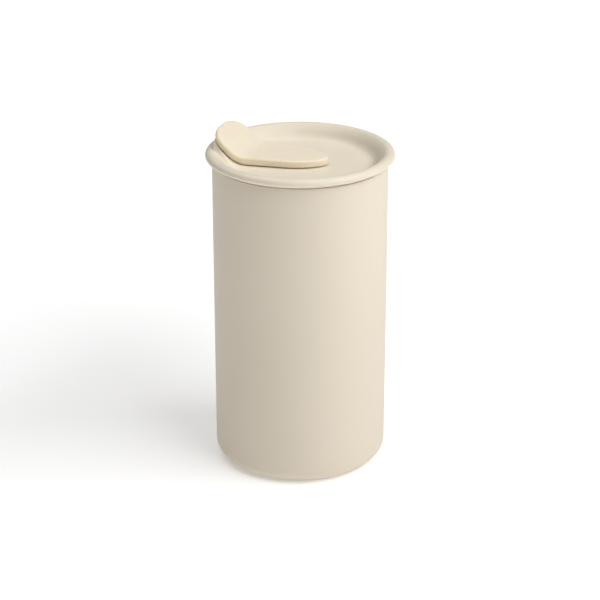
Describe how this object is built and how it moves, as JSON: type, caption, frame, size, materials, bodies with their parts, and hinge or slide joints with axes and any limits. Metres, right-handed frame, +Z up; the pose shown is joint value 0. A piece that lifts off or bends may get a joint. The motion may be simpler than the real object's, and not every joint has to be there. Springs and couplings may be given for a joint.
{
  "type": "travel coffee cup",
  "caption": "Double-walled cylindrical coffee cup with a dished push-fit lid and a soft hinged flap that closes the sip hole.",
  "frame": {"origin": "centre of the underside, on the surface the cup stands on", "axes": "+Z up along the cup's axis; the flap's lifting tab points to -X, turned 20 degrees towards +Y"},
  "size_m": [0.0806, 0.0806, 0.1487],
  "materials": {
    "powder_coat": "fine matt powder coat, warm cream",
    "bare_steel": "brushed stainless steel",
    "getter_metal": "sintered grey metal",
    "seal_glass": "dark fused sealing glass",
    "lid_plastic": "satin moulded polypropylene, warm cream",
    "gasket_silicone": "milky silicone",
    "flap_silicone": "soft matt silicone, cream yellow",
    "pad_silicone": "matt non-slip silicone"
  },
  "bodies": {
    "cup": {"outer_shell": "powder_coat", "inner_liner": "bare_steel", "vacuum_base": "bare_steel", "vacuum_seal_bead": "seal_glass", "getter_capsule": "getter_metal", "base_cap": "powder_coat", "base_pad": "pad_silicone"},
    "seal": {"lid_gasket": "gasket_silicone"},
    "lid": {"lid_top": "lid_plastic", "lid_insert": "lid_plastic", "flap_anchor": "flap_silicone"},
    "flap": {"sip_flap": "flap_silicone"}
  },
  "joints": [
    {"name": "lid_lift", "type": "slide", "parent": "cup", "child": "seal", "axis": [0, 0, 1], "range_m": [0, 0.05]},
    {"name": "lid_turn", "type": "hinge", "parent": "seal", "child": "lid", "pos_m": [0, 0, 0.12875], "axis": [0, 0, 1], "continuous": true},
    {"name": "flap_hinge", "type": "hinge", "parent": "lid", "child": "flap", "pos_m": [-0.00376, 0.00137, 0.13705], "axis": [0.342, 0.9397, 0], "range_deg": [0, 100], "stiffness_Nm_per_rad": 0.02}
  ]
}
